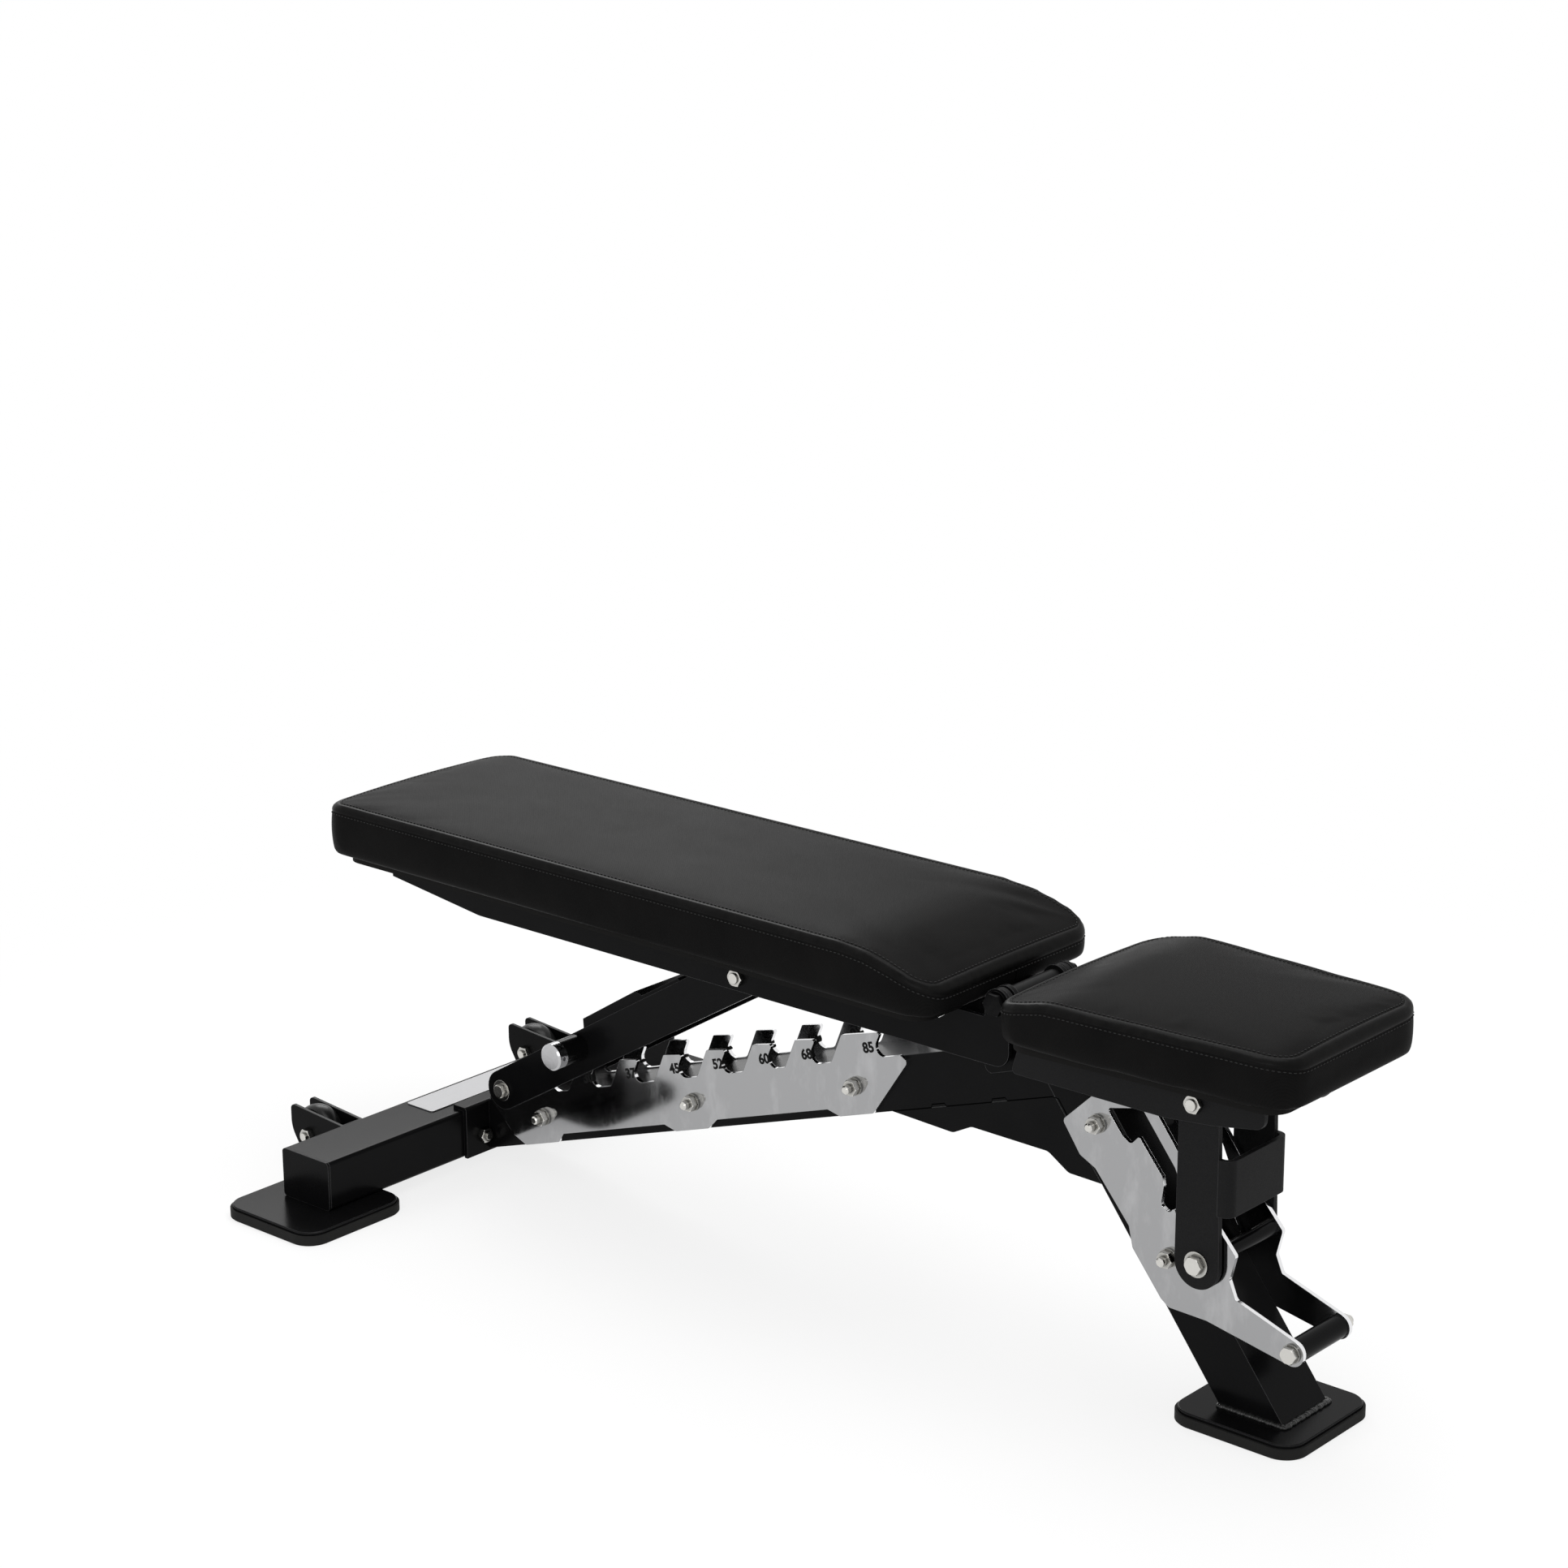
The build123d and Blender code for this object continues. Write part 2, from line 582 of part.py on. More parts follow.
def strut_cheek(side):
    """Flat bar from the rod up to the backrest."""
    plate = slab(link(ROD, 24, STRUT_PIVOT, 25), *LINK_Y)
    plate = plate - rod(ROD, ROD_R + SLIP, 40, 60) - rod(STRUT_PIVOT, LINK_BOLT_R + RUN, 40, 60)
    plate = plate - rod(strut_point(*GRIP), BOLT_R + SLIP, 40, 60)
    return plate if side > 0 else mirror(plate, Plane.XZ)


def strut_web():
    """Stepped plate between the cheeks, standing over their top edges."""
    corners = [strut_point(*at) for at in ((166, 16), (176, 35), (276, 37), (284, 29), (350, 29), (350, 16))]
    return slab(path(*corners), -LINK_Y[0], LINK_Y[0])


def strut_rod():
    """Bar that drops into the ladder notches, with a bolt in each end."""
    bar = rod(ROD, ROD_R, -LINK_Y[1], LINK_Y[1])
    end = ring(ROD, 13, 4, LINK_Y[1], LINK_Y[1] + 2) + nut(ROD, LINK_Y[1] + 2, LINK_Y[1] + 7.5, 8.5)
    return [bar] + both(end)


def hand_grips():
    """Grips that stick out from the strut's sides, each with a set-screw hole near its end."""
    at = strut_point(*GRIP)
    grip = rod(at, 16, LINK_Y[1], 100)
    grip = chamfer(grip.edges().filter_by(GeomType.CIRCLE).sort_by(Axis.Y)[-1], 2)
    set_screw = Pos(at[0] + 14, 92, at[1]) * Rot(0, 90, 0) * Cylinder(2.2, 8)
    grip = grip - set_screw
    stub = rod(at, BOLT_R, LINK_Y[0], LINK_Y[1])
    return both(grip + stub)


def seat_side():
    """Outline of one side of the seat frame, its rear edge sloped away from the backrest's ear."""
    return path((303, 322, 5), (498, 322), (557, 328), (618, 339, 12), (618, 366), (604, FRAME_TOP),
                (320, FRAME_TOP))


def seat_frame():
    """Frame under the seat: two sides joined by a web."""
    side = slab(seat_side(), *SEAT_SIDE_Y)
    side = holes(side, (YOKE_PIVOT,), LINK_BOLT_R + SLIP, 50, 70)
    web = box((332, 600), (-SEAT_SIDE_Y[0], SEAT_SIDE_Y[0]), (FRAME_TOP - 4, FRAME_TOP))
    return web + both(side)


def seat_hinge_plates():
    """Plates inside the seat frame that reach back to the pivot."""
    x, z = PIVOT
    arm = make_face(path((x - 6, z - 14), (x + 40, 330, 8), (x + 76, 330, 8), (x + 76, 372),
                         (x + 46, 372, 10), (x + 10, z + 11)))
    plate = slab(arm + Pos(x, z) * Circle(15), *HINGE_Y)
    return both(plate - rod(PIVOT, SHAFT_R + RUN, 40, 60))


def yoke_arms():
    """Two links from the seat frame down to the pin, cut straight where the band joins them."""
    plate = slab(link(PIN, 27, YOKE_PIVOT, 24), *LINK_Y)
    plate = plate - rod(PIN, PIN_R + SLIP, 40, 60) - rod(YOKE_PIVOT, LINK_BOLT_R + RUN, 40, 60)
    return both(plate - box((BAND_X[0], BAND_X[1]), (40, 60), BAND_Z))


def yoke_band():
    """Strip bent round the front of the yoke arms, flush with them inside and out."""
    (rear, front), (inner, outer) = BAND_X, LINK_Y
    thick = outer - inner
    skin = RectangleRounded(2 * (front - rear), 2 * outer, 12)
    core = RectangleRounded(2 * (front - rear - thick), 2 * inner, 12 - thick)
    strip = extrude(Plane.XY.offset(BAND_Z[0]) * Pos(rear, 0) * (skin - core), BAND_Z[1] - BAND_Z[0])
    return strip & box((rear, front + 1), (-outer - 1, outer + 1), (BAND_Z[0] - 1, BAND_Z[1] + 1))


def yoke_pin():
    """Pin that rests in the front plates' notches, with a nut at each end."""
    bar = rod(PIN, PIN_R, -LINK_Y[1], LINK_Y[1])
    end = ring(PIN, 14, 4, LINK_Y[1], LINK_Y[1] + 1.5) + nut(PIN, LINK_Y[1] + 1.5, LINK_Y[1] + 8, 10.5)
    return [bar] + both(end)


BACK_SCREWS = [(x, y) for x in (-560, -300, 0, 120) for y in (-38, 38)]
SEAT_SCREWS = [(x, y) for x in (400, 560) for y in (-38, 38)]


def nodes():
    """Every node of the bench with its solids."""
    ladder_bolts = [on_spine(s, LADDER_BOLT_H) for s in LADDER_BOLT_S]
    plate_half = TUBE_HALF + PLATE_T
    x, y = REAR_FOOT
    return {
        "rear_crossbeam": rear_crossbeam(),
        "crossbeam_end_caps": crossbeam_end_caps(),
        "name_plate": name_plate(),
        "rear_foot_plates": [Pos(x, y, 0) * foot_plate(), Pos(x, -y, 0) * foot_plate()],
        "rear_foot_shoes": [Pos(x, y, 0) * foot_shoe(), Pos(x, -y, 0) * foot_shoe()],
        "wheel_brackets": [wheel_bracket(1), wheel_bracket(-1)],
        "wheel_bolts": wheel_bolt(1) + wheel_bolt(-1),
        "transport_wheel_left": transport_wheel(1),
        "transport_wheel_right": transport_wheel(-1),
        "saddle_bracket": saddle_bracket(),
        "saddle_bolts": saddle_bolts(),
        "spine_tube": spine_tube(),
        "spine_gussets": spine_gussets(),
        "front_leg": front_leg(),
        "leg_weld": leg_weld(),
        "front_foot_plate": Pos(FRONT_FOOT_X, 0, 0) * foot_plate(),
        "front_foot_shoe": Pos(FRONT_FOOT_X, 0, 0) * foot_shoe(),
        "ladder_plate_left": ladder_plate(1),
        "ladder_plate_right": ladder_plate(-1),
        "ladder_bolts": bolt_sets(ladder_bolts, plate_half),
        "front_plate_left": front_plate(1),
        "front_plate_right": front_plate(-1),
        "front_plate_bolts": bolt_sets(FRONT_BOLTS, plate_half),
        "front_cross_tube": cross_tube(),
        "lift_handle": lift_handle(),
        "lift_handle_bolt": [mirror(piece, Plane.XZ) for piece in bolt_sets((HANDLE,), plate_half)],
        "pivot_bracket": pivot_bracket(),
        "pivot_shaft": pivot_shaft(),
        "backrest_frame": drilled(backrest_frame(), BACK_SCREWS),
        "backrest_board": drilled(board((-650, 236), 128, 128), BACK_SCREWS),
        "backrest_screws": pad_screws(BACK_SCREWS),
        "back_pad": back_pad(),
        "strut_pivot_bolt": pivot_bolt(STRUT_PIVOT, LINK_BOLT_R),
        "strut_cheek_left": strut_cheek(1),
        "strut_cheek_right": strut_cheek(-1),
        "strut_web": strut_web(),
        "strut_rod": strut_rod(),
        "hand_grips": hand_grips(),
        "seat_frame": drilled(seat_frame(), SEAT_SCREWS),
        "seat_hinge_plates": seat_hinge_plates(),
        "seat_board": drilled(board((344, 664), 128, 108), SEAT_SCREWS),
        "seat_screws": pad_screws(SEAT_SCREWS),
        "seat_pad": seat_pad(),
        "yoke_pivot_bolt": pivot_bolt(YOKE_PIVOT, LINK_BOLT_R),
        "yoke_arms": yoke_arms(),
        "yoke_band": yoke_band(),
        "yoke_pin": yoke_pin(),
    }


os.makedirs("parts", exist_ok=True)
for name, shape in nodes().items():
    solids = shape if isinstance(shape, list) else [shape]
    pieces = [solid for item in solids for solid in item.solids()]
    export_step(Compound(children=pieces), os.path.join("parts", name + ".step"))
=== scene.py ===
import bpy
import bmesh
import math
from mathutils import Matrix, Vector
from mathutils.bvhtree import BVHTree


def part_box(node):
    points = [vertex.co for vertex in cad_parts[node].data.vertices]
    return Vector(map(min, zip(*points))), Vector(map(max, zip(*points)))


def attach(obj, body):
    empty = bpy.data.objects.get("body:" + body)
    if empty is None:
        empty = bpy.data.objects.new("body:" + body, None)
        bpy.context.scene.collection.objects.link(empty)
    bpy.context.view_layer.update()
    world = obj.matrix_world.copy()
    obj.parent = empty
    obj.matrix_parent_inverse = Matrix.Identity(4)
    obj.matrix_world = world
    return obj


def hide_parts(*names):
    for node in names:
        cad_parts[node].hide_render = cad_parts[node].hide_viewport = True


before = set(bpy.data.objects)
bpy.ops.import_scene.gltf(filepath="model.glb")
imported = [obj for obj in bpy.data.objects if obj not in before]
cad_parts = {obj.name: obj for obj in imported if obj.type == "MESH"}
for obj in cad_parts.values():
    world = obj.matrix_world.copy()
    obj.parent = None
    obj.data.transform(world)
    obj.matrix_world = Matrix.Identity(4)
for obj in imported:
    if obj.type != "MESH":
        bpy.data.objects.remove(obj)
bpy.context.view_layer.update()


# The welded frames: crossbeam, spine, leg, gussets and foot plates, the backrest's channel,
# the strut and the handle tubes. Steel tube and plate under one coat of gloss black powder
# paint with a faint orange peel. Its edges are painted paler: a painted highlight.
class Shade:
    """A socket of a material, with arithmetic that adds Math nodes."""

    def __init__(self, tree, socket=None):
        self.tree = tree
        self.socket = socket

    def node(self, kind, settings=None, inputs=None, out=0):
        """Adds a node: its settings first, then the values or links of its sockets."""
        made = self.tree.nodes.new("ShaderNode" + kind)
        for name, value in (settings or {}).items():
            if name == "stops":
                ramp = made.color_ramp.elements
                while len(ramp) < len(value):
                    ramp.new(0.5)
                for element, (place, grey) in zip(ramp, value):
                    element.position = place
                    element.color = (grey, grey, grey, 1)
            else:
                setattr(made, name, value)
        for name, value in (inputs or {}).items():
            if isinstance(value, Shade):
                self.tree.links.new(value.socket, made.inputs[name])
            else:
                made.inputs[name].default_value = value
        return Shade(self.tree, made.outputs[out])

    def maths(self, operation, first, second):
        return self.node("Math", {"operation": operation}, {0: first, 1: second})

    def __add__(self, other):
        return self.maths("ADD", self, other)

    def __radd__(self, other):
        return self.maths("ADD", other, self)

    def __sub__(self, other):
        return self.maths("SUBTRACT", self, other)

    def __rsub__(self, other):
        return self.maths("SUBTRACT", other, self)

    def __mul__(self, other):
        return self.maths("MULTIPLY", self, other)

    def __rmul__(self, other):
        return self.maths("MULTIPLY", other, self)


def new_finish(name, **sockets):
    """A material with one Principled shader, its constant sockets set.

    Returns the material, the shader and a Shade to build nodes with.
    """
    material = bpy.data.materials.new(name)
    material.use_nodes = True
    shader = material.node_tree.nodes["Principled BSDF"]
    for key, value in sockets.items():
        shader.inputs[key.replace("_", " ")].default_value = value
    return material, shader, Shade(material.node_tree)


def feed(shader, name, value):
    """Links a varying value to one of the shader's sockets."""
    value.tree.links.new(value.socket, shader.inputs[name])


def blend_colours(shade, factor, dark, light):
    """A colour between two others."""
    return shade.node("Mix", {"data_type": "RGBA"}, {0: factor, 6: (*dark, 1), 7: (*light, 1)}, out=2)


def noise(shade, place, scale, detail, roughness=0.5):
    """A soft random value over the surface, finer with a larger scale."""
    sockets = {"Vector": place, "Scale": scale, "Detail": detail, "Roughness": roughness}
    return shade.node("TexNoise", inputs=sockets)


def bump(shade, height, strength, distance, normal=None):
    """Relief for the Normal socket, on top of another normal where one is given."""
    sockets = {"Strength": strength, "Distance": distance, "Height": height}
    if normal:
        sockets["Normal"] = normal
    return shade.node("Bump", inputs=sockets)


def dress(material, *nodes):
    """Gives CAD nodes their finish."""
    for node in nodes:
        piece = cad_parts[node]
        if not piece.material_slots:
            piece.data.materials.append(material)
        for slot in piece.material_slots:
            slot.material = material


def worn_edges(shade, rounded, reach):
    """How near a point is to a sharp edge, for a painted highlight: 0 on the flats, 1 where the rounded
    normal leans furthest.
    """
    true_normal = shade.node("NewGeometry", out=1)
    alike = shade.node("VectorMath", {"operation": "DOT_PRODUCT"}, {0: rounded, 1: true_normal}, out=1)
    ends = {1: 1.0, 2: 1.0 - reach, 3: 0.0, 4: 1.0}
    return shade.node("MapRange", {"clamp": True}, {0: alike, **ends})


gloss_paint, shader, shade = new_finish("gloss_black_paint", Specular_IOR_Level=0.05)
place = shade.node("TexCoord", out=3)
peel = noise(shade, place, 420, 2)
film = noise(shade, place, 9, 4, 0.6)
rounded = shade.node("Bevel", {"samples": 6}, {"Radius": 0.0012})
# The edges are painted paler than the flats: a painted highlight.
edge_highlight = worn_edges(shade, rounded, 0.25)
pale = film * 0.045 + edge_highlight * 0.9
feed(shader, "Base Color", blend_colours(shade, pale, (0.002, 0.002, 0.0022), (0.09, 0.09, 0.092)))
feed(shader, "Roughness", 0.14 + film * 0.16)
feed(shader, "Normal", bump(shade, peel, 0.05, 0.0004, rounded))
dress(gloss_paint, "rear_crossbeam", "crossbeam_end_caps", "rear_foot_plates", "wheel_brackets",
      "saddle_bracket", "spine_tube", "spine_gussets", "front_leg", "front_foot_plate", "pivot_bracket",
      "backrest_frame", "strut_cheek_left", "strut_cheek_right", "strut_web", "lift_handle",
      "front_cross_tube")


# The rubber shoes: moulded trays pushed over the edges of the three foot plates.
# Matte black rubber with a fine moulded grain and a little dust on it.
rubber, shader, shade = new_finish("shoe_rubber", Specular_IOR_Level=0.08)
place = shade.node("TexCoord", out=3)
grain = noise(shade, place, 900, 3)
dust = noise(shade, place, 22, 5)
feed(shader, "Base Color", blend_colours(shade, dust, (0.008, 0.008, 0.008), (0.02, 0.02, 0.019)))
feed(shader, "Roughness", 0.55 + dust * 0.25)
feed(shader, "Normal", bump(shade, grain, 0.25, 0.0003))
dress(rubber, "rear_foot_shoes", "front_foot_shoe")


# The transport wheels: solid moulded wheels that turn on bolts in their brackets.
# Glossy black plastic, a little scuffed by rolling.
wheel_plastic, shader, shade = new_finish("wheel_plastic", Specular_IOR_Level=0.15)
place = shade.node("TexCoord", out=3)
scuff = noise(shade, place, 130, 6)
feed(shader, "Base Color", blend_colours(shade, scuff, (0.006, 0.006, 0.006), (0.014, 0.014, 0.014)))
feed(shader, "Roughness", 0.16 + scuff * 0.2)
feed(shader, "Normal", bump(shade, scuff, 0.04, 0.0004))
dress(wheel_plastic, "transport_wheel_left", "transport_wheel_right")


# The bare plate on the crossbeam: thin aluminium sheet, brushed along its length
# and glued to the top of the beam.
brushed_sheet, shader, shade = new_finish("brushed_sheet", Metallic=1.0)
place = shade.node("TexCoord", out=3)
stretched = shade.node("Mapping", inputs={"Vector": place, "Scale": (1500, 12, 12)})
brush = noise(shade, stretched, 1, 3)
feed(shader, "Base Color", blend_colours(shade, brush, (0.2, 0.2, 0.203), (0.3, 0.3, 0.306)))
feed(shader, "Roughness", 0.34 + brush * 0.2)
feed(shader, "Normal", bump(shade, brush, 0.06, 0.0003))
dress(brushed_sheet, "name_plate")


# The weld at the foot of the leg: one bead round the tube, laid in overlapping pools.
# Painted over with the frame, so it is gloss black with bright ripples.
def lay_balls(mesh, shapes, around, rings):
    """Adds one smooth ball to a bmesh for each matrix, which sizes, turns and places it."""
    ball = bmesh.new()
    bmesh.ops.create_uvsphere(ball, u_segments=around, v_segments=rings, radius=1)
    ball.verts.index_update()
    points = [vertex.co.copy() for vertex in ball.verts]
    faces = [[vertex.index for vertex in face.verts] for face in ball.faces]
    ball.free()
    for shape in shapes:
        corners = [mesh.verts.new(shape @ point) for point in points]
        for face in faces:
            mesh.faces.new([corners[index] for index in face]).smooth = True


def bead_along(corners, step, radius):
    """Overlapping flattened pools of weld along a closed path of (x, y, z) corners."""
    mesh = bmesh.new()
    shapes = []
    for start, end in zip(corners, corners[1:] + corners[:1]):
        run = Vector(end) - Vector(start)
        pools = max(2, round(run.length / step))
        for index in range(pools):
            wobble = math.sin(len(shapes) * 2.4) * 0.00035
            centre = Vector(start) + run * (index / pools) + Vector((wobble, -wobble, 0))
            size = radius * (1 + 0.12 * math.sin(len(shapes) * 1.7))
            turn = Matrix.Rotation(math.atan2(run.y, run.x), 4, "Z")
            pool = Matrix.Diagonal((0.95 * size, size, 0.7 * size, 1))
            shapes.append(Matrix.Translation(centre) @ turn @ pool)
    lay_balls(mesh, shapes, 14, 8)
    return mesh


def new_piece(name, mesh, material, body):
    """An object from a bmesh, in its finish, riding on a body of the bench."""
    data = bpy.data.meshes.new(name)
    mesh.to_mesh(data)
    mesh.free()
    data.materials.append(material)
    piece = bpy.data.objects.new(name, data)
    bpy.context.scene.collection.objects.link(piece)
    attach(piece, body)
    return piece


bead_low, bead_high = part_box("leg_weld")
bead_in = 0.0035
bead_z = bead_low[2] + 0.001
bead_step = 0.0031
bead_radius = 0.0041
bead_path = [(bead_low[0] + bead_in, bead_low[1] + bead_in, bead_z),
             (bead_high[0] - bead_in, bead_low[1] + bead_in, bead_z),
             (bead_high[0] - bead_in, bead_high[1] - bead_in, bead_z),
             (bead_low[0] + bead_in, bead_high[1] - bead_in, bead_z)]
weld_paint, shader, shade = new_finish("weld_paint", Specular_IOR_Level=0.35)
place = shade.node("TexCoord", out=3)
spatter = noise(shade, place, 700, 4)
feed(shader, "Base Color", blend_colours(shade, spatter, (0.006, 0.006, 0.006), (0.02, 0.02, 0.02)))
feed(shader, "Roughness", 0.12 + spatter * 0.2)
feed(shader, "Normal", bump(shade, spatter, 0.3, 0.0005))
leg_weld = new_piece("leg_weld_bead", bead_along(bead_path, bead_step, bead_radius), weld_paint, "base")
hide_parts("leg_weld")


# The seams of the gussets: steel plates tabbed into the spine and the leg, welded from inside.
# The thin gap along the joint, stepping round each tab, is drawn as a near-black strip: painted shade.
painted_gap_shade, shader, shade = new_finish("seam_gap_painted_shade", Specular_IOR_Level=0.0, Roughness=0.9)
place = shade.node("TexCoord", out=3)
grit = noise(shade, place, 300, 2)
feed(shader, "Base Color", blend_colours(shade, grit, (0.0005, 0.0005, 0.0005), (0.002, 0.002, 0.002)))


def ribbon(mesh, points, facing, width, proud):
    """Adds to a bmesh a flat strip along points of a surface, whose outward directions are given."""
    sunk = 0.0003
    rows = []
    for index, (point, out) in enumerate(zip(points, facing)):
        run = points[min(index + 1, len(points) - 1)] - points[max(index - 1, 0)]
        side = run.cross(out).normalized() * (width / 2)
        lift, sink = out * proud, out * -sunk
        shifts = (side + sink, side + lift, lift - side, sink - side)
        rows.append([mesh.verts.new(point + shift) for shift in shifts])
    for first, second in zip(rows, rows[1:]):
        for index in range(4):
            after = (index + 1) % 4
            mesh.faces.new((first[index], second[index], second[after], first[after]))
    mesh.faces.new(rows[0])
    mesh.faces.new(rows[-1][::-1])
    bmesh.ops.recalc_face_normals(mesh, faces=mesh.faces)


slope = math.radians(18.3)
ladder_start = Vector((-0.1755, 0, 0.2036))
up_slope = Vector((math.cos(slope), 0, math.sin(slope)))
off_slope = Vector((-math.sin(slope), 0, math.cos(slope)))
seam_steps = [(296, 0), (352, 0), (354, 3.5), (372, 3.5), (374, 0),
              (438, 0), (440, 3.5), (458, 3.5), (460, 0), (522, 0)]
seam_below = 71.8
seam_width = 0.0013
seam_proud = 0.00012
spine_half = 0.04
leg_corner, leg_end = Vector((0.3487, 0, 0.3014)), Vector((0.4109, 0, 0.219))
for side in (-1, 1):
    skin = Vector((0, side * spine_half, 0))
    points = []
    for along, above in seam_steps:
        off = off_slope * ((above - seam_below) / 1000)
        points.append(ladder_start + skin + up_slope * (along / 1000) + off)
    points += [leg_corner.lerp(leg_end, share) + skin for share in (0.03, 0.35, 0.7, 1.0)]
    strip = bmesh.new()
    ribbon(strip, points, [Vector((0, side, 0))] * len(points), seam_width, seam_proud)
    gusset_seam = new_piece(f"gusset_seam_{'right' if side < 0 else 'left'}", strip, painted_gap_shade, "base")


# The ladder plates and front plates: laser-cut steel, chromed and bolted to the tubes.
# Polished, with cloudy water marks that dull the mirror here and there.
chrome, shader, shade = new_finish("marked_chrome", Metallic=1.0)
place = shade.node("TexCoord", out=3)
drips = shade.node("Mapping", inputs={"Vector": place, "Scale": (1.0, 1.0, 0.4)})
clouds = noise(shade, drips, 34, 7, 0.62)
marks = shade.node("ValToRGB", {"stops": ((0.5, 0.0), (0.68, 1.0))}, {"Fac": clouds})
specks = noise(shade, place, 260, 3)
outward = shade.node("TexCoord", out=1)
sideways = shade.maths("ABSOLUTE", shade.node("SeparateXYZ", inputs={"Vector": outward}, out=1), 0)
# The cut faces round the plates' edges are painted far brighter than the flats: a painted highlight.
cut_face_highlight = shade.maths("LESS_THAN", sideways, 0.5)
pale = marks * 0.15 + cut_face_highlight
feed(shader, "Base Color", blend_colours(shade, pale, (0.355, 0.357, 0.362), (0.8, 0.8, 0.81)))
feed(shader, "Roughness", 0.07 + marks * 0.06 + specks * 0.04)
rounded = shade.node("Bevel", {"samples": 4}, {"Radius": 0.0007})
feed(shader, "Normal", bump(shade, clouds, 0.02, 0.0004, rounded))
dress(chrome, "ladder_plate_left", "ladder_plate_right", "front_plate_left", "front_plate_right")


# The hand grips on the strut: steel tubes painted black, each with a polished collar
# pressed on its outer end.
grip_finish, shader, shade = new_finish("capped_grip", Specular_IOR_Level=0.07)
place = shade.node("TexCoord", out=3)
sides = shade.node("SeparateXYZ", inputs={"Vector": place}, out=1)
collar_start = 0.0862
collar = shade.maths("GREATER_THAN", shade.maths("ABSOLUTE", sides, 0), collar_start)
wear = noise(shade, place, 240, 4)
feed(shader, "Base Color", blend_colours(shade, collar, (0.004, 0.004, 0.0042), (0.5, 0.5, 0.51)))
feed(shader, "Metallic", collar)
feed(shader, "Roughness", 0.1 + wear * 0.14)
rounded = shade.node("Bevel", {"samples": 4}, {"Radius": 0.0007})
feed(shader, "Normal", bump(shade, wear, 0.04, 0.0004, rounded))
dress(grip_finish, "hand_grips")


# The angles on the ladder: figures cut right through each tooth, in both plates.
# They show the black tube behind, so they are dark and matte.
cut_dark, shader, shade = new_finish("cut_figure", Specular_IOR_Level=0.05)
place = shade.node("TexCoord", out=3)
soot = noise(shade, place, 500, 2)
feed(shader, "Base Color", blend_colours(shade, soot, (0.004, 0.004, 0.004), (0.016, 0.016, 0.016)))
feed(shader, "Roughness", 0.5 + soot * 0.3)
plate_middle = 0.0425
figure_size = 0.0162
figure_half_depth = 0.00265
figure_stroke = 0.0006
figure_above = 0.0015
notches = {22: -216.4, 30: -146.9, 37: -73.7, 45: 0, 52: 70.6, 60: 144.3, 68: 210.7, 85: 308.6}
for angle, notch in notches.items():
    shift = -21 if angle == 85 else -16.5
    centre = ladder_start + up_slope * (notch + shift) / 1000 + off_slope * figure_above
    for side in (-1, 1):
        words = bpy.data.curves.new(f"ladder_angle_{angle}", "FONT")
        words.body = str(angle)
        words.size = figure_size
        words.align_x = "CENTER"
        words.align_y = "CENTER"
        words.extrude = figure_half_depth
        words.offset = figure_stroke
        words.resolution_u = 3
        reads = up_slope * -side
        axes = Matrix((reads, off_slope, Vector((0, side, 0)))).transposed().to_4x4()
        cutter = bpy.data.objects.new("figure_maker", words)
        bpy.context.scene.collection.objects.link(cutter)
        bpy.context.view_layer.update()
        solid = bpy.data.meshes.new_from_object(cutter)
        bpy.data.objects.remove(cutter)
        shape = bmesh.new()
        shape.from_mesh(solid)
        bpy.data.meshes.remove(solid)
        shape.transform(Matrix.Translation(centre + Vector((0, side * plate_middle, 0))) @ axes)
        name = f"ladder_angle_{angle}_{'right' if side < 0 else 'left'}"
        new_piece(name, shape, cut_dark, "base")


# The bolts, nuts, washers and shafts: steel, bright zinc plated, with a faint straw tint.
# They clamp the plates to the tubes and carry the moving frames.
zinc, shader, shade = new_finish("bright_zinc", Metallic=1.0)
place = shade.node("TexCoord", out=3)
tint = noise(shade, place, 85, 3)
tool_marks = noise(shade, place, 650, 3)
# The metal is darkened where ambient occlusion finds hollows, in thread grooves and under heads and
# washers: painted shade.
hollow_shade = shade.node("AmbientOcclusion", {"samples": 6}, {"Distance": 0.007}, out=1)
tint_and_hollow_shade = hollow_shade * hollow_shade * (0.8 + tint * 0.4)
feed(shader, "Base Color", blend_colours(shade, tint_and_hollow_shade, (0.03, 0.03, 0.029), (0.62, 0.61, 0.58)))
feed(shader, "Roughness", 0.08 + tool_marks * 0.16)
rounded = shade.node("Bevel", {"samples": 4}, {"Radius": 0.0006})
feed(shader, "Normal", bump(shade, tool_marks, 0.06, 0.0004, rounded))
dress(zinc, "wheel_bolts", "saddle_bolts", "ladder_bolts", "front_plate_bolts", "lift_handle_bolt",
      "backrest_screws", "strut_pivot_bolt", "strut_rod", "seat_screws", "yoke_pivot_bolt", "yoke_pin")


# The pivot shaft with its sleeve and end nuts: steel turned to size and chemically blackened.
# Both pads' frames swing on it, so it is oiled and a little shiny.
black_oxide, shader, shade = new_finish("black_oxide", Metallic=1.0)
place = shade.node("TexCoord", out=3)
rubbed = noise(shade, place, 180, 4)
feed(shader, "Base Color", blend_colours(shade, rubbed, (0.004, 0.004, 0.0044), (0.014, 0.014, 0.014)))
feed(shader, "Roughness", 0.3 + rubbed * 0.2)
dress(black_oxide, "pivot_shaft")


